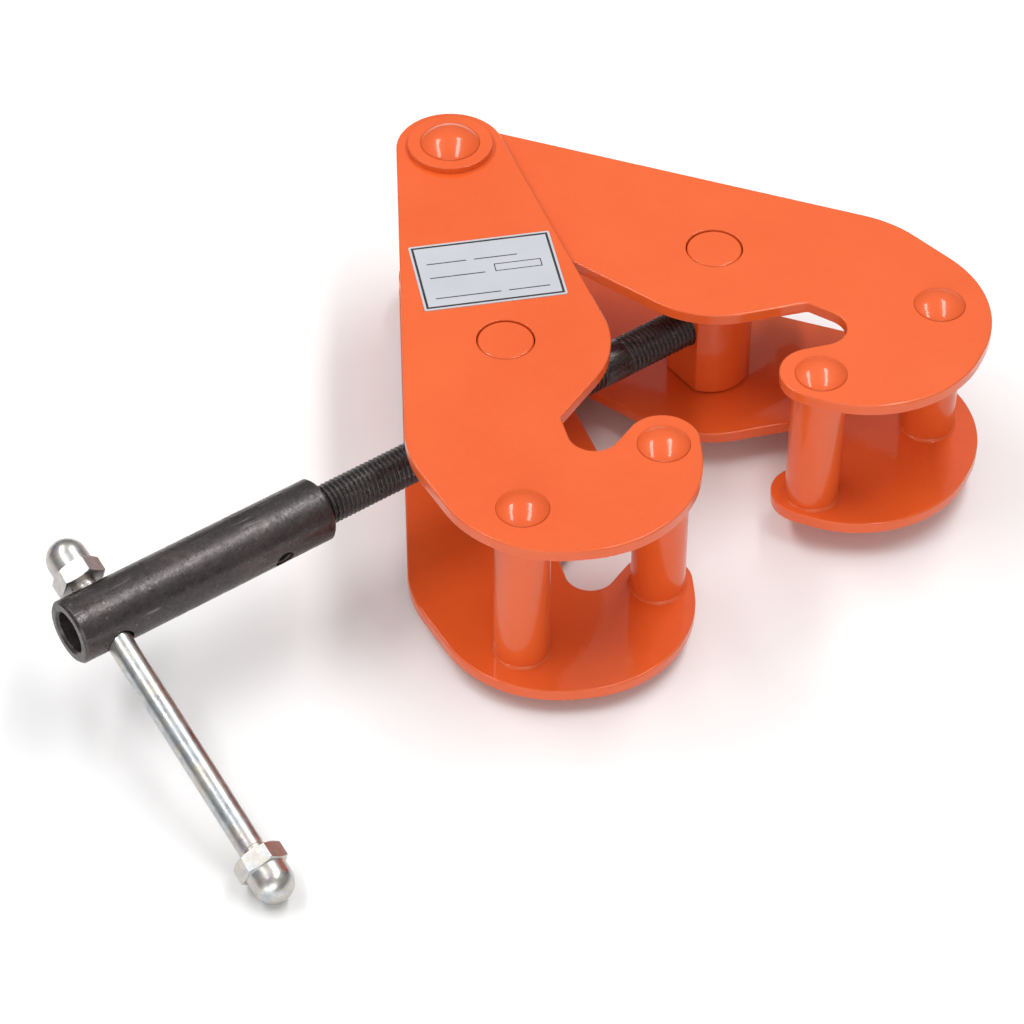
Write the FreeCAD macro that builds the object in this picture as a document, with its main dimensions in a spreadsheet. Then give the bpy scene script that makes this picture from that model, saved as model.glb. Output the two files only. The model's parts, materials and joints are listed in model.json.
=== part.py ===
import FreeCAD, Part
import math
import os

import Sketcher
from FreeCAD import Placement, Rotation, Vector

# Beam clamp: two jaws of paired plates hinge on a load pin, and a spindle with a left-hand and a
# right-hand thread draws them together through a trunnion nut in each jaw.
#
# Frame: the origin is the middle of the load pin and +Z runs along it. The clamp lies on its side,
# with the jaws towards -Y and the spindle along X: its handle is at -X, in the outer jaw.
# Each jaw also has a frame of its own, used for its outline: the pin is at (0, 0), the trunnion nut
# is straight below it, and +x points to the other jaw. Drops are distances below the pin.

# Driving dimensions, in millimetres and degrees
DIMENSIONS = {
    # jaws
    "plate_thickness": 5,
    "jaw_half_angle": 25.5,
    "outer_gap_half": 34,
    "inner_gap_half": 28.5,
    "plate_edge_chamfer": 0.4,
    "trunnion_drop": 117.4,
    "tip_post_across": 46.2,
    "tip_post_drop": 184.5,
    "heel_post_across": -11.2,
    "heel_post_drop": 208.1,
    # the circles that the jaw outline runs around
    "pin_end_radius": 21.5,
    "rim_radius": 48,
    "flank_across": 1.2,
    "flank_drop": 168,
    "heel_across": 7,
    "heel_drop": 185.5,
    "chin_across": 11.5,
    "chin_drop": 185.8,
    "nose_across": 46.4,
    "nose_drop": 182.3,
    "nose_radius": 13.7,
    "notch_across": 22.3,
    "notch_drop": 173.6,
    "notch_radius": 9.7,
    "lip_across": 13.9,
    "lip_drop": 164,
    "lip_radius": 2,
    "waist_radius": 39.8,
    # load pin and its washers
    "pin_radius": 11,
    "pin_hole_radius": 11.1,
    "pin_head_radius": 12,
    "pin_head_height": 5,
    "washer_radius": 17,
    "washer_thickness": 2.5,
    # posts between the plates of a jaw
    "post_radius": 10.5,
    "post_shank_radius": 8,
    "post_hole_radius": 8.05,
    "post_head_radius": 10,
    "post_head_height": 4,
    # trunnion nuts
    "nut_radius": 16.4,
    "nut_flat": 13.8,
    "nut_boss_radius": 10.7,
    "boss_hole_radius": 11.2,
    "nut_end_play": 0.9,
    "boss_recess": 0.2,
    "boss_chamfer": 0.5,
    "nut_bore_radius": 8,
    # spindle, measured along X from its tail inside the sleeve
    "spindle_tail_from_middle": 176,
    "spindle_shoulder_from_middle": 97,
    "spindle_radius": 7.9,
    "spindle_chamfer": 1.2,
    "journal_radius": 6,
    "journal_length": 7,
    "journal_chamfer": 0.6,
    "stop_washer_radius": 12,
    "stop_washer_thickness": 2.4,
    "stop_washer_bore_radius": 6.1,
    "stop_washer_play": 0.3,
    "clip_groove_radius": 5.3,
    "clip_groove_width": 1.3,
    "clip_thickness": 1.2,
    "clip_radius": 8.4,
    "clip_opening": 4,
    # handle sleeve and the slotted pin that holds it
    "sleeve_radius": 12.5,
    "sleeve_bore_radius": 8,
    "sleeve_length": 110,
    "sleeve_jaw_end_from_middle": 137.5,
    "sleeve_chamfer": 1,
    "roll_pin_from_middle": 160.7,
    "roll_pin_radius": 4,
    "roll_pin_bore_radius": 2.9,
    "roll_pin_slot": 1.6,
    "roll_pin_length": 22.4,
    # tommy bar and its dome nuts
    "tommy_from_middle": 232.6,
    "tommy_hole_radius": 5.7,
    "tommy_tilt": 18.7,
    "tommy_lean": 1.8,
    "tommy_radius": 5,
    "tommy_thread_radius": 4.8,
    "tommy_thread_length": 12,
    "tommy_thread_showing": 2.5,
    "tommy_end_chamfer": 0.8,
    "near_nut_from_axis": 14.4,
    "far_nut_from_axis": 108.1,
    "dome_nut_flats": 17,
    "dome_nut_hex_height": 7,
    "dome_nut_radius": 7.9,
    "dome_nut_neck_height": 12,
    "dome_nut_bore_radius": 4.9,
    "dome_nut_bore_depth": 13,
    "dome_nut_chamfer_radius": 8.4,
    "dome_nut_chamfer_height": 0.9,
    "near_nut_turn": -20,
    "far_nut_turn": 22,
    # rating label on the outer jaw
    "label_width": 55.6,
    "label_height": 37.8,
    "label_thickness": 0.3,
    "label_corner": 0.6,
    "label_across": 0.6,
    "label_drop": 77.2,
}

X_AXIS = Vector(1, 0, 0)
Y_AXIS = Vector(0, 1, 0)
Z_AXIS = Vector(0, 0, 1)

doc = FreeCAD.newDocument("beam_clamp")
sheet = doc.addObject("Spreadsheet::Sheet", "Dimensions")


class Size:
    """A number together with the sheet expression that gives it, so geometry can be bound to it."""

    def __init__(self, value, text):
        self.value = value
        self.text = text

    def __add__(self, other):
        other = as_size(other)
        return Size(self.value + other.value, f"({self.text} + {other.text})")

    def __sub__(self, other):
        other = as_size(other)
        return Size(self.value - other.value, f"({self.text} - {other.text})")

    def __mul__(self, factor):
        return Size(self.value * factor, f"({self.text} * {factor})")

    def __neg__(self):
        return Size(-self.value, f"(-{self.text})")


def as_size(value):
    """A plain number or a Size, as a Size."""
    return value if isinstance(value, Size) else Size(value, str(value))


class Dimensions:
    """The sheet's cells by name, as Sizes."""


def fill_sheet():
    """Writes every driving dimension to the sheet and returns them as Sizes."""
    named = Dimensions()
    for row, (alias, value) in enumerate(DIMENSIONS.items(), start=1):
        sheet.set(f"A{row}", alias)
        sheet.set(f"B{row}", str(value))
        sheet.setAlias(f"B{row}", alias)
        setattr(named, alias, Size(value, f"Dimensions.{alias}"))
    doc.recompute()
    return named


dim = fill_sheet()


# Building blocks


def new_body(label):
    body = doc.addObject("PartDesign::Body", label)
    body.Label = label
    return body


def origin_plane(body, role):
    return next(item for item in body.Origin.OriginFeatures if item.Role == role)


def new_sketch(body, role, name):
    sketch = body.newObject("Sketcher::SketchObject", f"{body.Name}_{name}")
    sketch.AttachmentSupport = [(origin_plane(body, role), "")]
    sketch.MapMode = "FlatFace"
    return sketch


def new_feature(body, kind, name, profile):
    feature = body.newObject(f"PartDesign::{kind}", f"{body.Name}_{name}")
    feature.Profile = profile
    profile.Visibility = False
    return feature


def place_point(sketch, geometry, end, x, y):
    """Fixes one end of a sketch element at (x, y), bound to the sheet."""
    for kind, axis, size in (("DistanceX", -2, x), ("DistanceY", -1, y)):
        if size.value == 0:
            sketch.addConstraint(Sketcher.Constraint("PointOnObject", geometry, end, axis))
        else:
            index = sketch.addConstraint(
                Sketcher.Constraint(kind, -1, 1, geometry, end, size.value)
            )
            sketch.setExpression(f"Constraints[{index}]", size.text)


def add_circle(sketch, x, y, radius):
    """A full circle whose centre and radius are bound to the sheet."""
    x, y, radius = as_size(x), as_size(y), as_size(radius)
    circle = sketch.addGeometry(Part.Circle(Vector(x.value, y.value, 0), Z_AXIS, radius.value))
    place_point(sketch, circle, 3, x, y)
    index = sketch.addConstraint(Sketcher.Constraint("Radius", circle, radius.value))
    sketch.setExpression(f"Constraints[{index}]", radius.text)


def add_outline(sketch, corners):
    """A closed outline of straight sides. Each corner is (x, y), plain numbers or Sizes."""
    corners = [(as_size(x), as_size(y)) for x, y in corners]
    points = [Vector(x.value, y.value, 0) for x, y in corners]
    sides = []
    for start, end in zip(points, points[1:] + points[:1]):
        sides.append(sketch.addGeometry(Part.LineSegment(start, end)))
    for side, (x, y) in zip(sides, corners):
        place_point(sketch, side, 1, x, y)
    for side, following in zip(sides, sides[1:] + sides[:1]):
        sketch.addConstraint(Sketcher.Constraint("Coincident", side, 2, following, 1))


def add_dome_section(sketch, corners, rim, top):
    """A half section that ends in a dome. The straight sides run from the axis through the corners
    to rim, the dome's edge, and an arc centred on the axis runs from rim to the height top."""
    corners = [(as_size(x), as_size(y)) for x, y in corners]
    corners.append((as_size(rim[0]), as_size(rim[1])))
    points = [Vector(x.value, y.value, 0) for x, y in corners]
    sides = []
    for start, end in zip(points, points[1:]):
        sides.append(sketch.addGeometry(Part.LineSegment(start, end)))
    rim_point = points[-1]
    height = top.value - rim_point.y
    radius = (rim_point.x**2 + height**2) / (2 * height)
    circle = Part.Circle(Vector(0, top.value - radius, 0), Z_AXIS, radius)
    rim_angle = math.atan2(rim_point.y - circle.Center.y, rim_point.x)
    dome = sketch.addGeometry(Part.ArcOfCircle(circle, rim_angle, math.pi / 2))
    axis = sketch.addGeometry(Part.LineSegment(Vector(0, top.value, 0), points[0]))
    for side, (x, y) in zip(sides, corners):
        place_point(sketch, side, 1, x, y)
    place_point(sketch, sides[-1], 2, *corners[-1])
    for side, following in zip(sides, sides[1:]):
        sketch.addConstraint(Sketcher.Constraint("Coincident", side, 2, following, 1))
    sketch.addConstraint(Sketcher.Constraint("Coincident", sides[-1], 2, dome, 1))
    sketch.addConstraint(Sketcher.Constraint("Coincident", dome, 2, axis, 1))
    sketch.addConstraint(Sketcher.Constraint("Coincident", axis, 2, sides[0], 1))
    sketch.addConstraint(Sketcher.Constraint("PointOnObject", dome, 3, -2))
    place_point(sketch, axis, 1, as_size(0), top)


def pad(body, profile, name, length):
    feature = new_feature(body, "Pad", name, profile)
    feature.setExpression("Length", as_size(length).text)
    body.Tip = feature
    return feature


def revolve(body, profile, name, axis):
    feature = new_feature(body, "Revolution", name, profile)
    feature.ReferenceAxis = (profile, [axis])
    feature.Angle = 360
    body.Tip = feature
    return feature


def mirror_across_xy(body, original):
    """Repeats a feature on the other side of the body's XY plane."""
    feature = body.newObject("PartDesign::Mirrored", f"{body.Name}_Mirrored")
    feature.Originals = [original]
    feature.MirrorPlane = (origin_plane(body, "XY_Plane"), [""])
    body.Tip = feature
    return feature


def cut_through(body, profile, name):
    """Cuts a profile through the whole body, to both sides of its plane."""
    doc.recompute()
    before = body.Shape.Volume
    feature = new_feature(body, "Pocket", name, profile)
    feature.Type = "ThroughAll"
    feature.Midplane = True
    body.Tip = feature
    doc.recompute()
    if not body.Shape.Volume < before - 1e-3:
        raise RuntimeError(f"{feature.Name} cuts nothing from {body.Label}")
    return feature


def place_on_spindle(body, x_from_middle):
    """Puts a body's origin on the spindle's axis, turned so that its -Y runs along the tommy bar."""
    middle_drop = dim.trunnion_drop.value * math.cos(math.radians(dim.jaw_half_angle.value))
    turn = Rotation(X_AXIS, dim.tommy_tilt.value)
    body.Placement = Placement(Vector(x_from_middle.value, -middle_drop, 0), turn)
    body.setExpression("Placement.Base.x", x_from_middle.text)
    body.setExpression(
        "Placement.Base.y", "-Dimensions.trunnion_drop * cos(Dimensions.jaw_half_angle * 1 deg)"
    )
    body.setExpression("Placement.Rotation.Angle", "Dimensions.tommy_tilt")


# Jaws


def jaw_circles():
    """The circles that a jaw's outline runs around, anticlockwise: centre x, drop and radius.
    A negative radius is a hollow, which the outline runs around the other way."""
    return [
        (0, 0, dim.pin_end_radius.value),
        (dim.flank_across.value, dim.flank_drop.value, dim.rim_radius.value),
        (dim.heel_across.value, dim.heel_drop.value, dim.rim_radius.value),
        (dim.chin_across.value, dim.chin_drop.value, dim.rim_radius.value),
        (dim.nose_across.value, dim.nose_drop.value, dim.nose_radius.value),
        (dim.notch_across.value, dim.notch_drop.value, -dim.notch_radius.value),
        (dim.lip_across.value, dim.lip_drop.value, -dim.lip_radius.value),
        (0, dim.trunnion_drop.value, dim.waist_radius.value),
    ]


def tangent_outline(circles):
    """Arcs around each circle, joined by the straight lines that touch one circle and the next."""
    centres = [Vector(x, -drop, 0) for x, drop, _ in circles]
    radii = [radius for _, _, radius in circles]
    touches = []
    count = len(circles)
    for here in range(count):
        after = (here + 1) % count
        reach = centres[after] - centres[here]
        lean = math.asin((radii[here] - radii[after]) / reach.Length)
        heading = math.atan2(reach.y, reach.x) + lean
        outward = Vector(math.sin(heading), -math.cos(heading), 0)
        touches.append((centres[here] + outward * radii[here], centres[after] + outward * radii[after]))
    edges = []
    for here in range(count):
        arrives = touches[here - 1][1]
        leaves = touches[here][0]
        across = (arrives + leaves) * 0.5 - centres[here]
        if here == 0:
            across = Vector(0, 1, 0)
        crown = centres[here] + across.normalize() * abs(radii[here])
        edges.append(Part.Arc(arrives, crown, leaves))
        edges.append(Part.LineSegment(leaves, touches[here][1]))
    return edges


def jaw_plate(label, side, level):
    """One plate of a jaw. side is +1 for the outer jaw and -1, its mirror image, for the inner one."""
    body = new_body(label)
    outline = new_sketch(body, "XY_Plane", "Outline")
    mirrored = FreeCAD.Matrix()
    mirrored.scale(side, 1, 1)
    for edge in tangent_outline(jaw_circles()):
        edge.transform(mirrored)
        outline.addGeometry(edge)
    plate = pad(body, outline, "Plate", dim.plate_thickness)
    doc.recompute()
    edges = [
        f"Edge{number}"
        for number, edge in enumerate(plate.Shape.Edges, start=1)
        if edge.BoundBox.ZLength < 1e-6
    ]
    chamfer = body.newObject("PartDesign::Chamfer", f"{label}_Edges")
    chamfer.Base = (plate, edges)
    chamfer.setExpression("Size", dim.plate_edge_chamfer.text)
    body.Tip = chamfer
    holes = new_sketch(body, "XY_Plane", "Holes")
    add_circle(holes, 0, 0, dim.pin_hole_radius)
    add_circle(holes, 0, -dim.trunnion_drop, dim.boss_hole_radius)
    for across, drop in jaw_posts():
        add_circle(holes, across * side, -drop, dim.post_hole_radius)
    cut_through(body, holes, "Cut")
    place_in_jaw(body, side, Vector(0, 0, 0))
    body.Placement.Base = Vector(0, 0, level.value)
    body.setExpression("Placement.Base.z", level.text)
    return body


def jaw_posts():
    return [
        (dim.tip_post_across, dim.tip_post_drop),
        (dim.heel_post_across, dim.heel_post_drop),
    ]


def place_in_jaw(body, side, position):
    """Swings a body about the load pin from the jaw's own frame to the jaw's place."""
    swing = Rotation(Vector(0, 0, -side), dim.jaw_half_angle.value)
    body.Placement = Placement(swing.multVec(position), swing)
    body.setExpression("Placement.Rotation.Angle", dim.jaw_half_angle.text)


def post(label, side, across, drop, gap_half):
    """A spacer between the plates of a jaw, with a shank through each and a peened head outside."""
    body = new_body(label)
    section = new_sketch(body, "XZ_Plane", "Section")
    outside = gap_half + dim.plate_thickness
    corners = [
        (0, 0),
        (dim.post_radius, 0),
        (dim.post_radius, gap_half),
        (dim.post_shank_radius, gap_half),
        (dim.post_shank_radius, outside),
    ]
    rim = (dim.post_head_radius, outside)
    add_dome_section(section, corners, rim, outside + dim.post_head_height)
    mirror_across_xy(body, revolve(body, section, "Half", "V_Axis"))
    place_in_jaw(body, side, Vector(across.value * side, -drop.value, 0))


def trunnion_nut(label, side, gap_half):
    """A round nut that swivels between the plates of a jaw on a boss at each end."""
    body = new_body(label)
    section = new_sketch(body, "XZ_Plane", "Section")
    shoulder = gap_half - dim.nut_end_play
    top = gap_half + dim.plate_thickness - dim.boss_recess
    add_outline(
        section,
        [
            (0, 0),
            (dim.nut_radius, 0),
            (dim.nut_radius, shoulder),
            (dim.nut_boss_radius, shoulder),
            (dim.nut_boss_radius, top - dim.boss_chamfer),
            (dim.nut_boss_radius - dim.boss_chamfer, top),
            (0, top),
        ],
    )
    mirror_across_xy(body, revolve(body, section, "Half", "V_Axis"))
    flats = new_sketch(body, "XY_Plane", "Flats")
    clear = dim.nut_radius * 2
    for end in (1, -1):
        add_outline(
            flats,
            [
                (dim.nut_flat * end, -clear),
                (clear * end, -clear),
                (clear * end, clear),
                (dim.nut_flat * end, clear),
            ],
        )
    cut_through(body, flats, "FlatsCut")
    bore = new_sketch(body, "YZ_Plane", "Bore")
    add_circle(bore, 0, 0, dim.nut_bore_radius)
    cut_through(body, bore, "BoreCut")
    turn = math.radians(dim.jaw_half_angle.value)
    reach = dim.trunnion_drop.value
    body.Placement.Base = Vector(-side * reach * math.sin(turn), -reach * math.cos(turn), 0)


def washer_disc(label, level):
    """A washer under one head of the load pin."""
    body = new_body(label)
    ring = new_sketch(body, "XY_Plane", "Ring")
    add_circle(ring, 0, 0, dim.washer_radius)
    add_circle(ring, 0, 0, dim.pin_hole_radius)
    pad(body, ring, "Disc", dim.washer_thickness)
    body.Placement.Base = Vector(0, 0, level.value)
    body.setExpression("Placement.Base.z", level.text)


def load_pin():
    body = new_body("load_pin")
    section = new_sketch(body, "XZ_Plane", "Section")
    under_head = dim.outer_gap_half + dim.plate_thickness + dim.washer_thickness
    corners = [(0, 0), (dim.pin_radius, 0), (dim.pin_radius, under_head)]
    rim = (dim.pin_head_radius, under_head)
    add_dome_section(section, corners, rim, under_head + dim.pin_head_height)
    mirror_across_xy(body, revolve(body, section, "Half", "V_Axis"))


def rating_label():
    body = new_body("rating_label")
    face = new_sketch(body, "XY_Plane", "Face")
    half_width = dim.label_width * 0.5
    half_height = dim.label_height * 0.5
    corner = dim.label_corner
    add_outline(
        face,
        [
            (half_width - corner, -half_height),
            (half_width, -half_height + corner),
            (half_width, half_height - corner),
            (half_width - corner, half_height),
            (-half_width + corner, half_height),
            (-half_width, half_height - corner),
            (-half_width, -half_height + corner),
            (-half_width + corner, -half_height),
        ],
    )
    pad(body, face, "Plate", dim.label_thickness)
    top = dim.outer_gap_half + dim.plate_thickness
    place_in_jaw(body, 1, Vector(dim.label_across.value, -dim.label_drop.value, top.value))


# Spindle and handle


def spindle():
    """The threaded bar: its tail is pinned in the sleeve, its other end carries the stop washer."""
    body = new_body("spindle")
    section = new_sketch(body, "XY_Plane", "Section")
    shoulder = dim.spindle_tail_from_middle + dim.spindle_shoulder_from_middle
    groove = shoulder + dim.stop_washer_thickness + dim.stop_washer_play * 2
    groove_end = groove + dim.clip_groove_width
    end = shoulder + dim.journal_length
    add_outline(
        section,
        [
            (0, 0),
            (0, dim.spindle_radius - dim.spindle_chamfer),
            (dim.spindle_chamfer, dim.spindle_radius),
            (shoulder - dim.spindle_chamfer, dim.spindle_radius),
            (shoulder, dim.spindle_radius - dim.spindle_chamfer),
            (shoulder, dim.journal_radius),
            (groove, dim.journal_radius),
            (groove, dim.clip_groove_radius),
            (groove_end, dim.clip_groove_radius),
            (groove_end, dim.journal_radius),
            (end - dim.journal_chamfer, dim.journal_radius),
            (end, dim.journal_radius - dim.journal_chamfer),
            (end, 0),
        ],
    )
    revolve(body, section, "Bar", "H_Axis")
    cross_hole = new_sketch(body, "XZ_Plane", "PinHole")
    add_circle(
        cross_hole, dim.spindle_tail_from_middle - dim.roll_pin_from_middle, 0, dim.roll_pin_radius
    )
    cut_through(body, cross_hole, "PinHoleCut")
    place_on_spindle(body, -dim.spindle_tail_from_middle)


def stop_washer():
    """Loose on the spindle's end, it keeps the inner jaw's nut from being wound off."""
    body = new_body("spindle_stop_washer")
    ring = new_sketch(body, "YZ_Plane", "Ring")
    add_circle(ring, 0, 0, dim.stop_washer_radius)
    add_circle(ring, 0, 0, dim.stop_washer_bore_radius)
    pad(body, ring, "Disc", dim.stop_washer_thickness)
    place_on_spindle(body, dim.spindle_shoulder_from_middle + dim.stop_washer_play)


def open_ring(sketch, outer, inner, opening):
    """A ring with a gap of the given width on its +x side."""
    arcs = []
    for radius in (outer.value, inner.value):
        half_gap = math.asin(opening.value / 2 / radius)
        circle = Part.Circle(Vector(0, 0, 0), Z_AXIS, radius)
        arcs.append(Part.ArcOfCircle(circle, half_gap, 2 * math.pi - half_gap))
    for arc in arcs:
        sketch.addGeometry(arc)
    sketch.addGeometry(Part.LineSegment(arcs[0].StartPoint, arcs[1].StartPoint))
    sketch.addGeometry(Part.LineSegment(arcs[0].EndPoint, arcs[1].EndPoint))


def circlip():
    """Snaps into the groove at the spindle's end and holds the stop washer on."""
    body = new_body("spindle_circlip")
    ring = new_sketch(body, "YZ_Plane", "Ring")
    open_ring(ring, dim.clip_radius, dim.clip_groove_radius, dim.clip_opening)
    pad(body, ring, "Clip", dim.clip_thickness)
    shoulder = dim.spindle_shoulder_from_middle
    side_gap = (dim.clip_groove_width - dim.clip_thickness) * 0.5
    place_on_spindle(
        body, shoulder + dim.stop_washer_thickness + dim.stop_washer_play * 2 + side_gap
    )


def handle_sleeve():
    body = new_body("handle_sleeve")
    section = new_sketch(body, "XY_Plane", "Section")
    length = dim.sleeve_length
    bevel = dim.sleeve_chamfer
    add_outline(
        section,
        [
            (0, dim.sleeve_bore_radius + bevel),
            (0, dim.sleeve_radius - bevel),
            (bevel, dim.sleeve_radius),
            (length - bevel, dim.sleeve_radius),
            (length, dim.sleeve_radius - bevel),
            (length, dim.sleeve_bore_radius),
            (bevel, dim.sleeve_bore_radius),
        ],
    )
    revolve(body, section, "Tube", "H_Axis")
    tail_end = dim.sleeve_jaw_end_from_middle + length
    cross_holes = new_sketch(body, "XZ_Plane", "CrossHoles")
    add_circle(cross_holes, tail_end - dim.tommy_from_middle, 0, dim.tommy_hole_radius)
    add_circle(cross_holes, tail_end - dim.roll_pin_from_middle, 0, dim.roll_pin_radius)
    cut_through(body, cross_holes, "CrossHolesCut")
    place_on_spindle(body, -tail_end)


def roll_pin():
    """A slotted spring pin through the sleeve and the spindle's tail."""
    body = new_body("sleeve_roll_pin")
    ring = new_sketch(body, "XZ_Plane", "Ring")
    open_ring(ring, dim.roll_pin_radius, dim.roll_pin_bore_radius, dim.roll_pin_slot)
    feature = pad(body, ring, "Pin", dim.roll_pin_length)
    feature.Midplane = True
    place_on_spindle(body, -dim.roll_pin_from_middle)


def tommy_placement(distance, flipped, turn):
    """A frame on the tommy bar's axis, this far from the spindle's, with +Z along the bar.
    The bar runs down towards -Y and leans a little in its loose hole."""
    slope = Rotation(X_AXIS, 90 + dim.tommy_tilt.value)
    lean = Rotation(Y_AXIS, -dim.tommy_lean.value)
    along = slope.multiply(lean)
    middle_drop = dim.trunnion_drop.value * math.cos(math.radians(dim.jaw_half_angle.value))
    crossing = Vector(-dim.tommy_from_middle.value, -middle_drop, 0)
    facing = Rotation(X_AXIS, 180) if flipped else Rotation()
    turned = along.multiply(facing).multiply(Rotation(Z_AXIS, turn))
    return Placement(crossing + along.multVec(Z_AXIS) * distance, turned)


def tommy_bar():
    """The bar that turns the spindle, reduced to a thread at both ends."""
    body = new_body("tommy_bar")
    section = new_sketch(body, "XZ_Plane", "Section")
    inside_nut = dim.tommy_thread_length - dim.tommy_thread_showing
    span = dim.near_nut_from_axis + dim.far_nut_from_axis
    length = span + inside_nut * 2
    thread = dim.tommy_thread_length
    bevel = dim.tommy_end_chamfer
    add_outline(
        section,
        [
            (0, 0),
            (dim.tommy_thread_radius - bevel, 0),
            (dim.tommy_thread_radius, bevel),
            (dim.tommy_thread_radius, thread),
            (dim.tommy_radius, thread),
            (dim.tommy_radius, length - thread),
            (dim.tommy_thread_radius, length - thread),
            (dim.tommy_thread_radius, length - bevel),
            (dim.tommy_thread_radius - bevel, length),
            (0, length),
        ],
    )
    revolve(body, section, "Bar", "V_Axis")
    start = -(dim.near_nut_from_axis.value + inside_nut.value)
    body.Placement = tommy_placement(start, False, 0)


def dome_nut(label, distance, flipped, turn):
    """A hexagon nut closed by a dome, with its flat face at the local origin."""
    body = new_body(label)
    hexagon = new_sketch(body, "XY_Plane", "Hexagon")
    corner_radius = dim.dome_nut_flats.value / math.sqrt(3)
    corners = []
    for index in range(6):
        angle = math.radians(60 * index)
        corners.append(Vector(corner_radius * math.cos(angle), corner_radius * math.sin(angle), 0))
    for start, end in zip(corners, corners[1:] + corners[:1]):
        hexagon.addGeometry(Part.LineSegment(start, end))
    pad(body, hexagon, "Hexagon", dim.dome_nut_hex_height)
    chamfers = new_sketch(body, "XZ_Plane", "Chamfers")
    beyond = dim.dome_nut_flats * 0.6
    height = dim.dome_nut_hex_height
    bevel = dim.dome_nut_chamfer_height
    add_outline(chamfers, [(dim.dome_nut_chamfer_radius, 0), (beyond, 0), (beyond, bevel)])
    add_outline(
        chamfers, [(dim.dome_nut_chamfer_radius, height), (beyond, height), (beyond, height - bevel)]
    )
    doc.recompute()
    before = body.Shape.Volume
    groove = new_feature(body, "Groove", "ChamferCut", chamfers)
    groove.ReferenceAxis = (chamfers, ["V_Axis"])
    groove.Angle = 360
    body.Tip = groove
    doc.recompute()
    if not body.Shape.Volume < before - 1e-3:
        raise RuntimeError(f"the chamfers cut nothing from {label}")
    dome = new_sketch(body, "XZ_Plane", "Dome")
    neck = dim.dome_nut_neck_height
    base = height * 0.5
    add_dome_section(
        dome,
        [(0, base), (dim.dome_nut_radius, base)],
        (dim.dome_nut_radius, neck),
        neck + dim.dome_nut_radius * 0.98,
    )
    revolve(body, dome, "DomeCap", "V_Axis")
    bore = new_sketch(body, "XY_Plane", "Bore")
    add_circle(bore, 0, 0, dim.dome_nut_bore_radius)
    doc.recompute()
    before = body.Shape.Volume
    pocket = new_feature(body, "Pocket", "BoreCut", bore)
    pocket.setExpression("Length", dim.dome_nut_bore_depth.text)
    pocket.Reversed = True
    body.Tip = pocket
    doc.recompute()
    if not body.Shape.Volume < before - 1e-3:
        raise RuntimeError(f"the bore cuts nothing from {label}")
    body.Placement = tommy_placement(distance.value, flipped, turn.value)


def build():
    """Makes every piece of the clamp."""
    outer_top = dim.outer_gap_half + dim.plate_thickness
    inner_top = dim.inner_gap_half + dim.plate_thickness
    for name, side, gap_half, top in (
        ("outer", 1, dim.outer_gap_half, outer_top),
        ("inner", -1, dim.inner_gap_half, inner_top),
    ):
        jaw_plate(f"{name}_jaw_upper_plate", side, gap_half)
        jaw_plate(f"{name}_jaw_lower_plate", side, -top)
        for place, (across, drop) in zip(("tip", "heel"), jaw_posts()):
            post(f"{name}_jaw_{place}_post", side, across, drop, gap_half)
        trunnion_nut(f"{name}_trunnion_nut", side, gap_half)
    load_pin()
    washer_disc("upper_pin_washer", outer_top)
    washer_disc("lower_pin_washer", -(outer_top + dim.washer_thickness))
    rating_label()
    spindle()
    stop_washer()
    circlip()
    handle_sleeve()
    roll_pin()
    tommy_bar()
    dome_nut("tommy_near_dome_nut", -dim.near_nut_from_axis, True, dim.near_nut_turn)
    dome_nut("tommy_far_dome_nut", dim.far_nut_from_axis, False, dim.far_nut_turn)


def check_document():
    """Stops if any object failed or any piece isn't one valid solid."""
    for item in doc.Objects:
        if "Invalid" in item.State or "Error" in item.State:
            raise RuntimeError(f"{item.Label} failed: {item.State}")
    for body in doc.findObjects("PartDesign::Body"):
        shape = body.Shape
        if shape.isNull() or not shape.isValid() or len(shape.Solids) != 1:
            raise RuntimeError(f"{body.Label} isn't one valid solid")


def export_pieces():
    os.makedirs("parts", exist_ok=True)
    for body in doc.findObjects("PartDesign::Body"):
        body.Shape.exportStep(os.path.join("parts", f"{body.Label}.step"))
        print(f"{body.Label}: {body.Shape.Volume:.0f} mm3")


build()
doc.recompute()
check_document()
export_pieces()
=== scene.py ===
import json
import math

import bmesh
import bpy
from mathutils import Matrix, Vector


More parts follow.
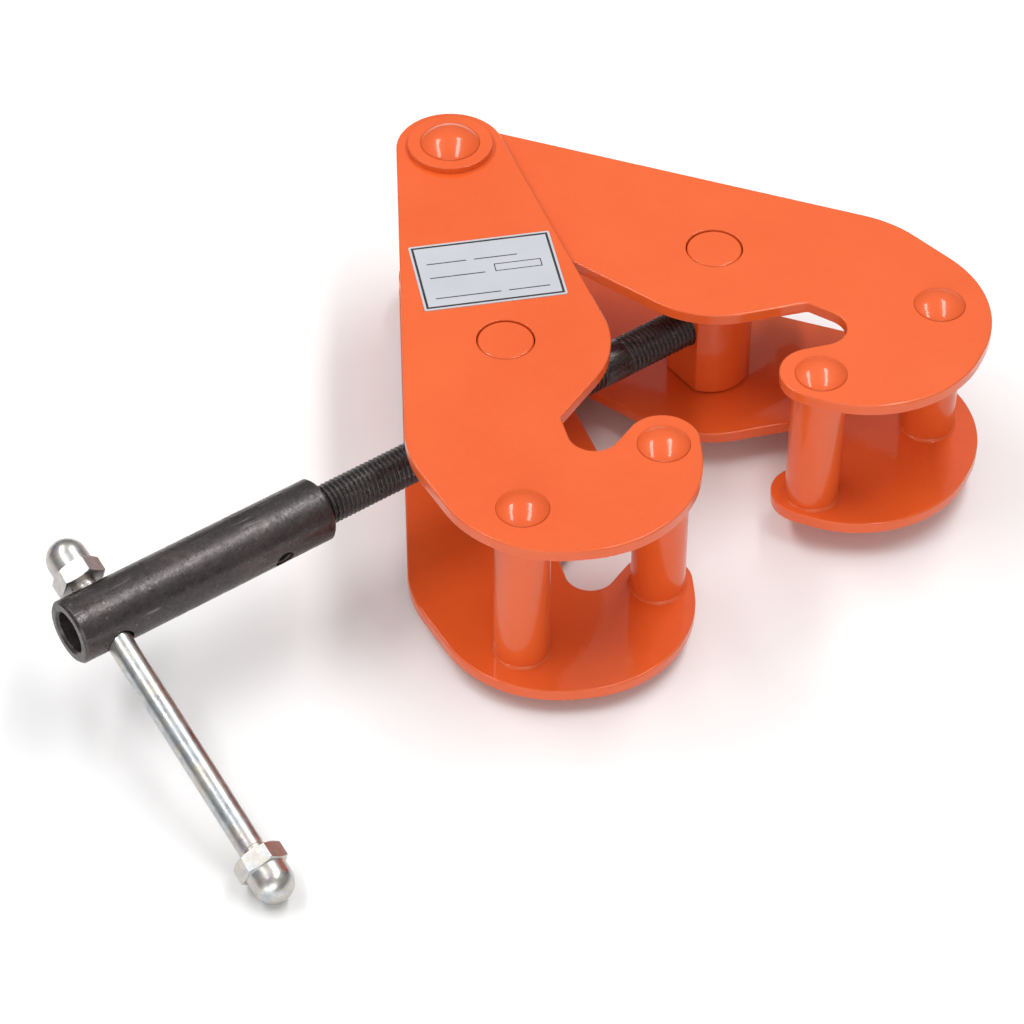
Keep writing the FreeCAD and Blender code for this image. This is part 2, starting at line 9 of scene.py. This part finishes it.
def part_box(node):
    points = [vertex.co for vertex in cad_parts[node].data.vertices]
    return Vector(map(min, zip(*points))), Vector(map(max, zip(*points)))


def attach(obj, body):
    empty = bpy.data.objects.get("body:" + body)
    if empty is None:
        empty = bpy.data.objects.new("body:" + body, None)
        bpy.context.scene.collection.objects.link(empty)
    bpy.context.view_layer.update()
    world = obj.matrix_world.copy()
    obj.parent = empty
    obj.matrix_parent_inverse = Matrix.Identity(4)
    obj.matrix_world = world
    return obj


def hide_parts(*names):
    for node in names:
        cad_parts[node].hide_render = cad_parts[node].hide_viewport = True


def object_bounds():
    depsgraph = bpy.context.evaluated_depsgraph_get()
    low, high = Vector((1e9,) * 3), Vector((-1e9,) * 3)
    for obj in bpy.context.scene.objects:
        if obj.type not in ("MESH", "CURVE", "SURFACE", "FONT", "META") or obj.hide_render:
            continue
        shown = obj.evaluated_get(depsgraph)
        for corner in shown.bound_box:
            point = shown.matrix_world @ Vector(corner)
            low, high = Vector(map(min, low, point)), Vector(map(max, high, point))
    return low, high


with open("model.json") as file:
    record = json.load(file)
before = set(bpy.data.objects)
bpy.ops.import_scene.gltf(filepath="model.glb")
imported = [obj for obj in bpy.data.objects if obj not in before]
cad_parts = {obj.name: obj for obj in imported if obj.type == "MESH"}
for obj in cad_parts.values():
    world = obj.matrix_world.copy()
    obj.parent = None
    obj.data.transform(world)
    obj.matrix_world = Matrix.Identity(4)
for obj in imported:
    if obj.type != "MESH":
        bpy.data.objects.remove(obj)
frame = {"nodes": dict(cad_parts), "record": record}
cad_low, cad_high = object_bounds()

MM = 0.001
JAW_HALF_ANGLE = math.radians(25.5)
nodes = frame["nodes"]
scene = bpy.context.scene


# ---------------------------------------------------------------- material helpers


class Shader:
    """A material made of nodes, with short names for the few kinds of node used here."""

    def __init__(self, name):
        self.material = bpy.data.materials.new(name)
        self.material.use_nodes = True
        self.tree = self.material.node_tree
        self.tree.nodes.clear()
        output = self.tree.nodes.new("ShaderNodeOutputMaterial")
        self.bsdf = self.tree.nodes.new("ShaderNodeBsdfPrincipled")
        self.tree.links.new(self.bsdf.outputs["BSDF"], output.inputs["Surface"])
        self.coords = self.tree.nodes.new("ShaderNodeTexCoord").outputs["Object"]

    def feed(self, socket, value):
        """Links a node's output to the socket, or sets a fixed number or colour on it."""
        if isinstance(value, bpy.types.NodeSocket):
            self.tree.links.new(value, socket)
        elif isinstance(value, tuple):
            socket.default_value = (*value, 1)
        else:
            socket.default_value = value

    def set(self, **values):
        """Values for the shader's sockets, such as coat_weight=0.5."""
        for name, value in values.items():
            wanted = name.replace("_", " ").lower()
            socket = next(s for s in self.bsdf.inputs if s.name.lower() == wanted)
            self.feed(socket, value)

    def stretched(self, scale, turn=(0, 0, 0)):
        """Object coordinates in a turned frame, with each axis scaled."""
        node = self.tree.nodes.new("ShaderNodeMapping")
        node.vector_type = "TEXTURE"
        node.inputs["Rotation"].default_value = turn
        node.inputs["Scale"].default_value = tuple(1 / s for s in scale)
        self.feed(node.inputs["Vector"], self.coords)
        return node.outputs["Vector"]

    def noise(self, scale, detail=3.0, rough=0.5, vector=None, distortion=0.0):
        """Smooth noise from 0 to 1. Without a vector, scale is the number of features a metre."""
        node = self.tree.nodes.new("ShaderNodeTexNoise")
        node.inputs["Scale"].default_value = scale
        node.inputs["Detail"].default_value = detail
        node.inputs["Roughness"].default_value = rough
        node.inputs["Distortion"].default_value = distortion
        self.feed(node.inputs["Vector"], vector or self.coords)
        return node.outputs["Fac"]

    def specks(self, scale, vector=None):
        """The distance to scattered points."""
        node = self.tree.nodes.new("ShaderNodeTexVoronoi")
        node.inputs["Scale"].default_value = scale
        self.feed(node.inputs["Vector"], vector or self.coords)
        return node.outputs["Distance"]

    def ramp(self, source, *stops):
        """A colour ramp; each stop is (position, grey or colour)."""
        node = self.tree.nodes.new("ShaderNodeValToRGB")
        elements = node.color_ramp.elements
        while len(elements) < len(stops):
            elements.new(0.5)
        for element, (position, colour) in zip(elements, stops):
            element.position = position
            if isinstance(colour, (int, float)):
                colour = (colour, colour, colour)
            element.color = (*colour, 1)
        self.feed(node.inputs["Fac"], source)
        return node.outputs["Color"]

    def mix(self, amount, first, second):
        """Two colours mixed by a fixed or a varying amount."""
        node = self.tree.nodes.new("ShaderNodeMixRGB")
        self.feed(node.inputs["Fac"], amount)
        self.feed(node.inputs["Color1"], first)
        self.feed(node.inputs["Color2"], second)
        return node.outputs["Color"]

    def math(self, operation, first, second=0.0):
        """One arithmetic step, such as MULTIPLY."""
        node = self.tree.nodes.new("ShaderNodeMath")
        node.operation = operation
        self.feed(node.inputs[0], first)
        self.feed(node.inputs[1], second)
        return node.outputs["Value"]

    def bump(self, height, strength, distance, normal=None):
        """A normal bent by a height, on top of another normal if one is given."""
        node = self.tree.nodes.new("ShaderNodeBump")
        node.inputs["Strength"].default_value = strength
        node.inputs["Distance"].default_value = distance
        self.feed(node.inputs["Height"], height)
        if normal is not None:
            self.feed(node.inputs["Normal"], normal)
        return node.outputs["Normal"]

    def rounded(self, radius):
        """The surface's normal, turned near sharp edges as if they were rounded to a radius."""
        node = self.tree.nodes.new("ShaderNodeBevel")
        node.samples = 6
        node.inputs["Radius"].default_value = radius
        return node.outputs["Normal"]

    def edges(self, rounded):
        """1 along sharp edges and 0 on flat stretches, from the rounded normal."""
        geometry = self.tree.nodes.new("ShaderNodeNewGeometry")
        node = self.tree.nodes.new("ShaderNodeVectorMath")
        node.operation = "DOT_PRODUCT"
        self.feed(node.inputs[0], geometry.outputs["Normal"])
        self.feed(node.inputs[1], rounded)
        return self.ramp(node.outputs["Value"], (0.80, 1.0), (0.985, 0.0))


# ---------------------------------------------------------------- materials


def orange_powder_coat():
    """Glossy orange paint: orange peel, faint cloudiness, dust specks, and lighter along the edges,
    partly where the paint is thin and partly a painted edge highlight.
    """
    s = Shader("orange_powder_coat")
    soft = s.rounded(0.7 * MM)
    clouds = s.noise(16, 4, 0.6)
    colour = s.ramp(clouds, (0.3, (0.706, 0.096, 0.0155)), (0.7, (0.752, 0.114, 0.0215)))
    grain = s.ramp(s.noise(420, 3, 0.6), (0.35, 0.0), (0.65, 1.0))
    colour = s.mix(s.math("MULTIPLY", grain, 0.10), colour, (0.80, 0.145, 0.034))
    dust = s.ramp(s.specks(260), (0.03, 1.0), (0.06, 0.0))
    rare = s.ramp(s.noise(60, 2, 0.5), (0.60, 0.0), (0.66, 1.0))
    specked = s.math("MULTIPLY", dust, rare)
    colour = s.mix(s.math("MULTIPLY", specked, 0.6), colour, (0.26, 0.030, 0.012))
    patchy = s.ramp(s.noise(70, 4, 0.6), (0.40, 0.15), (0.62, 1.0))
    # Painted edge highlight: a lighter orange along sharp edges, broken up in patches, partly
    # standing for thin paint.
    thin_paint_and_edge_highlight = s.math("MULTIPLY", s.edges(soft), patchy)
    colour = s.mix(s.math("MULTIPLY", thin_paint_and_edge_highlight, 0.30), colour, (0.90, 0.24, 0.09))
    smudges = s.noise(30, 4, 0.55)
    s.set(
        base_color=colour,
        roughness=s.ramp(smudges, (0.3, 0.31), (0.7, 0.36)),
        specular_ior_level=0.20,
        coat_weight=0.65,
        coat_roughness=0.05,
    )
    peel = s.bump(s.noise(520, 2, 0.4), 0.08, 0.4 * MM, soft)
    ripple = s.bump(s.noise(150, 2, 0.5), 0.05, 1.0 * MM, peel)
    bumps = s.bump(dust, 0.05, 0.2 * MM, ripple)
    s.set(normal=bumps, coat_normal=bumps)
    return s.material


def black_oxide(name, dark, grooves):
    """Oiled black oxide with a brown bloom, handling scratches, and edges lighter partly from wear
    towards bare steel and partly from a painted edge highlight.
    A lower dark is darker, and grooves is the number of turning marks a metre."""
    s = Shader(name)
    soft = s.rounded(0.45 * MM)
    bloom = s.noise(30, 6, 0.65, distortion=0.5)
    colour = s.ramp(
        bloom,
        (0.30, (0.026 * dark, 0.023 * dark, 0.025 * dark)),
        (0.52, (0.046 * dark, 0.037 * dark, 0.037 * dark)),
        (0.75, (0.082 * dark, 0.064 * dark, 0.060 * dark)),
    )
    grain = s.ramp(s.noise(900, 4, 0.7), (0.38, 0.0), (0.66, 1.0))
    colour = s.mix(s.math("MULTIPLY", grain, 0.35), colour, (0.12, 0.10, 0.10))
    lengthwise = s.noise(1.0, 3, 0.55, vector=s.stretched((45, 700, 700)))
    slanted = s.noise(1.0, 2, 0.5, vector=s.stretched((90, 800, 800), turn=(0.3, 0.5, 0.6)))
    scratches = s.math(
        "MAXIMUM",
        s.ramp(lengthwise, (0.64, 0.0), (0.70, 1.0)),
        s.ramp(slanted, (0.70, 0.0), (0.73, 1.0)),
    )
    where = s.ramp(s.noise(24, 3, 0.5), (0.42, 0.30), (0.60, 1.0))
    scratched = s.math("MULTIPLY", scratches, where)
    colour = s.mix(s.math("MULTIPLY", scratched, 0.55), colour, (0.30, 0.27, 0.26))
    # Painted edge highlight: a lighter grey along sharp edges, partly standing for wear towards
    # bare steel.
    colour = s.mix(s.math("MULTIPLY", s.edges(soft), 0.6), colour, (0.36, 0.32, 0.30))
    s.set(
        base_color=colour,
        metallic=0.55,
        roughness=s.ramp(s.noise(260, 5, 0.7), (0.32, 0.17), (0.68, 0.46)),
        specular_ior_level=0.8,
    )
    turned = s.noise(1.0, 2, 0.6, vector=s.stretched((grooves, 4, 4)))
    lathe = s.bump(turned, 0.12, 0.4 * MM, soft)
    s.set(normal=s.bump(s.noise(420, 4, 0.65), 0.22, 0.4 * MM, lathe))
    return s.material


def zinc_plate():
    """Zinc plate over a slightly pitted bar, with faint blue, straw and violet tints."""
    s = Shader("zinc_plate")
    soft = s.rounded(0.4 * MM)
    tint = s.noise(60, 3, 0.5, distortion=1.2)
    colour = s.ramp(
        tint,
        (0.30, (0.46, 0.49, 0.54)),
        (0.45, (0.57, 0.59, 0.59)),
        (0.58, (0.63, 0.59, 0.51)),
        (0.70, (0.55, 0.50, 0.53)),
    )
    mottle = s.ramp(s.noise(330, 5, 0.7), (0.36, 0.0), (0.64, 1.0))
    colour = s.mix(s.math("MULTIPLY", mottle, 0.42), colour, (0.24, 0.25, 0.27))
    pits = s.ramp(s.specks(420), (0.06, 1.0), (0.14, 0.0))
    few = s.ramp(s.noise(90, 2, 0.5), (0.55, 0.0), (0.62, 1.0))
    pitted = s.math("MULTIPLY", pits, few)
    colour = s.mix(s.math("MULTIPLY", pitted, 0.5), colour, (0.12, 0.12, 0.13))
    colour = s.mix(s.math("MULTIPLY", s.edges(soft), 0.45), colour, (0.86, 0.86, 0.86))
    s.set(
        base_color=colour,
        metallic=1.0,
        roughness=s.ramp(s.noise(150, 5, 0.65), (0.3, 0.24), (0.7, 0.44)),
    )
    s.set(normal=s.bump(s.noise(380, 4, 0.65), 0.14, 0.4 * MM, soft))
    return s.material


def label_film():
    """Satin white film, faintly blue."""
    s = Shader("label_film")
    tone = s.ramp(s.noise(40, 3, 0.5), (0.3, (0.470, 0.478, 0.520)), (0.7, (0.515, 0.522, 0.562)))
    s.set(base_color=tone, roughness=s.ramp(s.noise(90, 3, 0.5), (0.3, 0.30), (0.7, 0.42)))
    s.set(normal=s.bump(s.noise(150, 2, 0.5), 0.05, 0.5 * MM))
    return s.material


def label_ink():
    """Black printing ink."""
    s = Shader("label_ink")
    s.set(base_color=s.ramp(s.noise(300, 3, 0.5), (0.3, 0.012), (0.7, 0.03)), roughness=0.5)
    return s.material


ORANGE = orange_powder_coat()
BLACK_SLEEVE = black_oxide("black_oxide_sleeve", 1.0, 900)
BLACK_THREAD = black_oxide("black_oxide_thread", 0.42, 1500)
ZINC = zinc_plate()
LABEL = label_film()
INK = label_ink()


def paint(node, material):
    """Puts a material in every slot of a CAD node."""
    mesh = nodes[node].data
    if not mesh.materials:
        mesh.materials.append(material)
    for index in range(len(mesh.materials)):
        mesh.materials[index] = material


MATERIAL_OF_SLOT = {
    "orange_paint": ORANGE,
    "blackened_steel": BLACK_SLEEVE,
    "zinc_plate": ZINC,
    "label_film": LABEL,
}
for part in frame["record"]["subparts"]:
    paint(part["node"], MATERIAL_OF_SLOT[part["material_slot"]])


# ---------------------------------------------------------------- pieces of the visual model


def new_piece(name, mesh, material, body):
    """A visual piece that moves with a body."""
    piece = bpy.data.objects.new(name, mesh)
    scene.collection.objects.link(piece)
    mesh.materials.append(material)
    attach(piece, body)
    return piece


def smooth_by_angle(mesh, degrees):
    """Smooth shading, with sharp edges where two faces meet at more than this angle."""
    mesh.shade_smooth()
    mesh.set_sharp_from_angle(angle=math.radians(degrees))


# ---------------------------------------------------------------- threaded spindle


PITCH = 2.0 * MM
RINGS_PER_PITCH = 10
THREAD_DEPTH = 1.05 * MM
THREAD_CREST = 0.12  # share of the pitch, and the same for the root
THREAD_FLANK = 0.38
SPINDLE_RADIUS = 7.9 * MM
SPINDLE_CHAMFER = 1.2 * MM
SPINDLE_SIDES = 48
PLAIN_TAIL = 14.0 * MM
PLAIN_MIDDLE_HALF = 5.0 * MM
SHOULDER_FROM_MIDDLE = 97.0 * MM
JOURNAL_RADIUS = 6.0 * MM
JOURNAL_CHAMFER = 0.6 * MM
CLIP_GROOVE_RADIUS = 5.3 * MM
CLIP_GROOVE_FROM_SHOULDER = 3.0 * MM
CLIP_GROOVE_WIDTH = 1.3 * MM


def thread_radius(x, angle, start, end, hand):
    """The radius of a threaded bar at x. The thread fades out over one turn at start and at end,
    and hand is 1 for a right-hand thread and -1 for a left-hand one."""
    phase = (x / PITCH - hand * angle / (2 * math.pi)) % 1.0
    if phase < THREAD_CREST:
        cut = 0.0
    elif phase < THREAD_CREST + THREAD_FLANK:
        cut = (phase - THREAD_CREST) / THREAD_FLANK
    elif phase < 2 * THREAD_CREST + THREAD_FLANK:
        cut = 1.0
    else:
        cut = (1.0 - phase) / THREAD_FLANK
    fade = min(1.0, max(0.0, (x - start) / PITCH), max(0.0, (end - x) / PITCH))
    return SPINDLE_RADIUS - THREAD_DEPTH * cut * fade


def add_rings(bm, rings):
    """Joins rings of points with faces and closes both ends with a fan of triangles."""
    loops = [[bm.verts.new(point) for point in ring] for ring in rings]
    for first, second in zip(loops, loops[1:]):
        count = len(first)
        for i in range(count):
            j = (i + 1) % count
            bm.faces.new((first[i], first[j], second[j], second[i]))
    for loop, flip in ((loops[0], True), (loops[-1], False)):
        middle = bm.verts.new(sum((v.co for v in loop), Vector()) / len(loop))
        for i in range(len(loop)):
            a, b = loop[i], loop[(i + 1) % len(loop)]
            bm.faces.new((b, a, middle) if flip else (a, b, middle))


def ring(x, centre, radius_at):
    """Points around the spindle's axis at x, at a radius that may change with the angle."""
    points = []
    for i in range(SPINDLE_SIDES):
        angle = 2 * math.pi * i / SPINDLE_SIDES
        radius = radius_at(angle)
        points.append((x, centre.y + radius * math.cos(angle), centre.z + radius * math.sin(angle)))
    return points


def build_spindle():
    """The spindle with real threads: left-hand on the handle's side, right-hand on the other."""
    low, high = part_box("spindle")
    centre = (Vector(low) + Vector(high)) / 2
    rings = []

    def plain(*profile):
        for x, radius in profile:
            rings.append(ring(x, centre, lambda angle, radius=radius: radius))

    def threaded(start, end, hand):
        count = int(round((end - start) / (PITCH / RINGS_PER_PITCH)))
        for k in range(count + 1):
            x = start + (end - start) * k / count
            rings.append(ring(x, centre, lambda angle: thread_radius(x, angle, start, end, hand)))

    left_start = low[0] + PLAIN_TAIL
    shoulder = SHOULDER_FROM_MIDDLE
    groove = shoulder + CLIP_GROOVE_FROM_SHOULDER
    groove_end = groove + CLIP_GROOVE_WIDTH
    plain(
        (low[0], SPINDLE_RADIUS - SPINDLE_CHAMFER),
        (low[0] + SPINDLE_CHAMFER, SPINDLE_RADIUS),
        (left_start - 0.1 * MM, SPINDLE_RADIUS),
    )
    threaded(left_start, -PLAIN_MIDDLE_HALF, -1)
    threaded(PLAIN_MIDDLE_HALF, shoulder - SPINDLE_CHAMFER, 1)
    plain(
        (shoulder, SPINDLE_RADIUS - SPINDLE_CHAMFER),
        (shoulder, JOURNAL_RADIUS),
        (groove, JOURNAL_RADIUS),
        (groove, CLIP_GROOVE_RADIUS),
        (groove_end, CLIP_GROOVE_RADIUS),
        (groove_end, JOURNAL_RADIUS),
        (high[0] - JOURNAL_CHAMFER, JOURNAL_RADIUS),
        (high[0], JOURNAL_RADIUS - JOURNAL_CHAMFER),
    )
    bm = bmesh.new()
    add_rings(bm, rings)
    bmesh.ops.recalc_face_normals(bm, faces=bm.faces)
    mesh = bpy.data.meshes.new("threaded_spindle")
    bm.to_mesh(mesh)
    bm.free()
    smooth_by_angle(mesh, 50)
    piece = new_piece("threaded_spindle", mesh, BLACK_THREAD, "spindle_and_sleeve")
    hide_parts("spindle")


build_spindle()


# ---------------------------------------------------------------- paint at the posts' ends


POST_RADIUS = 10.5 * MM
BEAD_SIDES = 96


def add_bead(bm, centre, level, up, phase):
    """A ring of thick paint where a post meets a plate at this level, a little uneven. up is 1 if
    the post stands on the plate and -1 if it hangs from it."""
    loops = []
    for i in range(BEAD_SIDES):
        angle = 2 * math.pi * i / BEAD_SIDES
        size = 1 + 0.22 * math.sin(3 * angle + phase) + 0.14 * math.sin(8 * angle + 2 * phase)
        outline = (
            (-0.30, -0.20),
            (0.85 * size, -0.20),
            (0.85 * size, 0.06),
            (0.34 * size, 0.26 * size),
            (0.08, 0.80 * size),
            (-0.30, 0.80 * size),
        )
        loop = []
        for out, rise in outline:
            radius = POST_RADIUS + out * MM
            x = centre.x + radius * math.cos(angle)
            y = centre.y + radius * math.sin(angle)
            loop.append(bm.verts.new((x, y, level + up * rise * MM)))
        loops.append(loop)
    for i in range(BEAD_SIDES):
        first, second = loops[i], loops[(i + 1) % BEAD_SIDES]
        for j in range(len(first)):
            k = (j + 1) % len(first)
            bm.faces.new((first[j], second[j], second[k], first[k]))


def build_beads(jaw):
    """The four beads of one jaw, at both ends of its two posts."""
    lower_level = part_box(f"{jaw}_jaw_lower_plate")[1][2]
    upper_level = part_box(f"{jaw}_jaw_upper_plate")[0][2]
    bm = bmesh.new()
    for phase, place in ((0.4, "tip"), (2.1, "heel")):
        low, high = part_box(f"{jaw}_jaw_{place}_post")
        centre = (Vector(low) + Vector(high)) / 2
        add_bead(bm, centre, lower_level, 1, phase)
        add_bead(bm, centre, upper_level, -1, phase + 1)
    bmesh.ops.recalc_face_normals(bm, faces=bm.faces)
    mesh = bpy.data.meshes.new(f"{jaw}_jaw_paint_beads")
    bm.to_mesh(mesh)
    bm.free()
    smooth_by_angle(mesh, 60)
    new_piece(f"{jaw}_jaw_paint_beads", mesh, ORANGE, f"{jaw}_jaw")


build_beads("outer")
build_beads("inner")


# ---------------------------------------------------------------- label print


INK_ABOVE = 0.03 * MM
INK_BELOW = 0.05 * MM
BORDER_HALF_WIDTH = 26.9
BORDER_HALF_HEIGHT = 18.0
BORDER_LINE = 0.9
BLANK_LINE = 0.4
RULED_LINE = 0.5
RULED_LINES = (
    # left end, right end and bottom edge, in millimetres from the label's middle
    (-22.5, -7, 7.2),
    (-4, 13, 7.2),
    (-22.5, -1, -1.0),
    (-22.5, 3, -13.0),
    (6, 22, -13.0),
)


def build_label_print():
    """A blank form: a border, ruled lines and an empty box in place of words."""
    low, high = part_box("rating_label")
    centre = (Vector(low) + Vector(high)) / 2
    turn = Matrix.Rotation(-JAW_HALF_ANGLE, 4, "Z")
    levels = (high[2] - INK_BELOW, high[2] + INK_ABOVE)
    bm = bmesh.new()

    def bar(x0, y0, x1, y1):
        """A thin slab of ink between two corners, sunk a little into the label."""
        outlines = []
        for level in levels:
            outline = []
            for x, y in ((x0, y0), (x1, y0), (x1, y1), (x0, y1)):
                flat = turn @ Vector((x * MM, y * MM, 0))
                outline.append((centre.x + flat.x, centre.y + flat.y, level))
            outlines.append([bm.verts.new(point) for point in outline])
        bottom, top = outlines
        bm.faces.new(top)
        bm.faces.new(reversed(bottom))
        for i in range(4):
            j = (i + 1) % 4
            bm.faces.new((bottom[i], bottom[j], top[j], top[i]))

    def empty_box(x0, y0, x1, y1, line):
        bar(x0, y0, x1, y0 + line)
        bar(x0, y1 - line, x1, y1)
        bar(x0, y0 + line, x0 + line, y1 - line)
        bar(x1 - line, y0 + line, x1, y1 - line)

    across, up = BORDER_HALF_WIDTH, BORDER_HALF_HEIGHT
    empty_box(-across, -up, across, up, BORDER_LINE)
    empty_box(3, -1.0, 21.5, 3.4, BLANK_LINE)
    for left, right, bottom_edge in RULED_LINES:
        bar(left, bottom_edge, right, bottom_edge + RULED_LINE)
    mesh = bpy.data.meshes.new("label_print")
    bm.to_mesh(mesh)
    bm.free()
    new_piece("label_print", mesh, INK, "outer_jaw")


build_label_print()


# ---------------------------------------------------------------- floor, lights and camera


FLOOR_HALF = 6.0
FLOOR_GAP = 0.2 * MM


def build_floor():
    """A plain pale floor just under the clamp."""
    s = Shader("studio_floor")
    s.set(
        base_color=s.ramp(s.noise(3, 2, 0.5), (0.3, 0.89), (0.7, 0.91)),
        roughness=0.6,
        specular_ior_level=0.2,
    )
    mesh = bpy.data.meshes.new("floor")
    half = FLOOR_HALF
    level = cad_low[2] - FLOOR_GAP
    mesh.from_pydata(
        [(-half, -half, level), (half, -half, level), (half, half, level), (-half, half, level)],
        [],
        [(0, 1, 2, 3)],
    )
    mesh.materials.append(s.material)
    floor = bpy.data.objects.new("floor", mesh)
    scene.collection.objects.link(floor)


# The view's direction: turned from +Y towards +X, tipped down, and rolled, in radians.
VIEW_YAW = 0.6417
VIEW_DOWN = 0.7739
VIEW_ROLL = 0.0075
CAMERA_AT = Vector((-0.6981, -0.9774, 1.0090))
LENS = 135.4
SENSOR_WIDTH = 36.0


def view_axes():
    """The camera's right, up and backward directions."""
    forward = Vector(
        (
            math.sin(VIEW_YAW) * math.cos(VIEW_DOWN),
            math.cos(VIEW_YAW) * math.cos(VIEW_DOWN),
            -math.sin(VIEW_DOWN),
        )
    )
    right = Vector((math.cos(VIEW_YAW), -math.sin(VIEW_YAW), 0))
    down = forward.cross(right)
    c, s = math.cos(VIEW_ROLL), math.sin(VIEW_ROLL)
    rolled_right = right * c - down * s
    rolled_down = right * s + down * c
    return rolled_right, -rolled_down, -forward


def build_camera():
    data = bpy.data.cameras.new("camera")
    data.sensor_width = SENSOR_WIDTH
    data.lens = LENS
    data.clip_start = 0.05
    data.clip_end = 50.0
    camera = bpy.data.objects.new("camera", data)
    scene.collection.objects.link(camera)
    turn = Matrix(view_axes()).transposed().to_4x4()
    camera.matrix_world = Matrix.Translation(CAMERA_AT) @ turn
    scene.camera = camera


def softbox(name, place, target, width, length, glow):
    """An area light aimed at a point. Its width runs across the view, its length runs away from
    the camera as far as the aim allows, and glow is the radiance of its face."""
    data = bpy.data.lights.new(name, "AREA")
    data.shape = "RECTANGLE"
    data.size = width
    data.size_y = length
    data.energy = glow * math.pi * width * length
    lamp = bpy.data.objects.new(name, data)
    scene.collection.objects.link(lamp)
    back = (place - target).normalized()
    along = Vector((math.sin(VIEW_YAW), math.cos(VIEW_YAW), 0))
    side = along.cross(back).normalized()
    up = back.cross(side)
    lamp.matrix_world = Matrix.Translation(place) @ Matrix((side, up, back)).transposed().to_4x4()


LIT_POINT = Vector((0.0, -0.11, 0.0))
STRIP_WIDTH = 0.22
STRIP_LENGTH = 1.7
STRIP_GLOW = 11.5


def build_lights():
    """Two long strips above for the highlights, a low fill in front and a dim grey sky."""
    right = Vector((math.cos(VIEW_YAW), -math.sin(VIEW_YAW), 0))
    away = Vector((math.sin(VIEW_YAW), math.cos(VIEW_YAW), 0))

    def at(across, depth, up):
        """A place in metres from the lit point: right, away from the camera, and up."""
        return LIT_POINT + right * across + away * depth + Vector((0, 0, up))

    for name, across in (("strip_left", -0.90), ("strip_right", 0.47)):
        place = at(across, 0.15, 1.5)
        softbox(name, place, LIT_POINT, STRIP_WIDTH, STRIP_LENGTH, STRIP_GLOW)
    softbox("front_fill", at(-0.3, -1.8, 0.48), LIT_POINT, 2.4, 0.8, 2.5)
    build_sky(((0.0, 0.10), (0.8, 0.58)))


def build_sky(greys):
    """A grey sky; each grey is (height of the direction, level)."""
    world = bpy.data.worlds.new("studio")
    world.use_nodes = True
    tree = world.node_tree
    direction = tree.nodes.new("ShaderNodeTexCoord").outputs["Generated"]
    split = tree.nodes.new("ShaderNodeSeparateXYZ")
    ramp = tree.nodes.new("ShaderNodeValToRGB")
    for element, (position, grey) in zip(ramp.color_ramp.elements, greys):
        element.position = position
        element.color = (grey, grey, grey, 1)
    tree.links.new(direction, split.inputs["Vector"])
    tree.links.new(split.outputs["Z"], ramp.inputs["Fac"])
    tree.links.new(ramp.outputs["Color"], tree.nodes["Background"].inputs["Color"])
    tree.nodes["Background"].inputs["Strength"].default_value = 1.0
    scene.world = world


build_floor()
build_camera()
build_lights()
scene.view_settings.view_transform = "Standard"
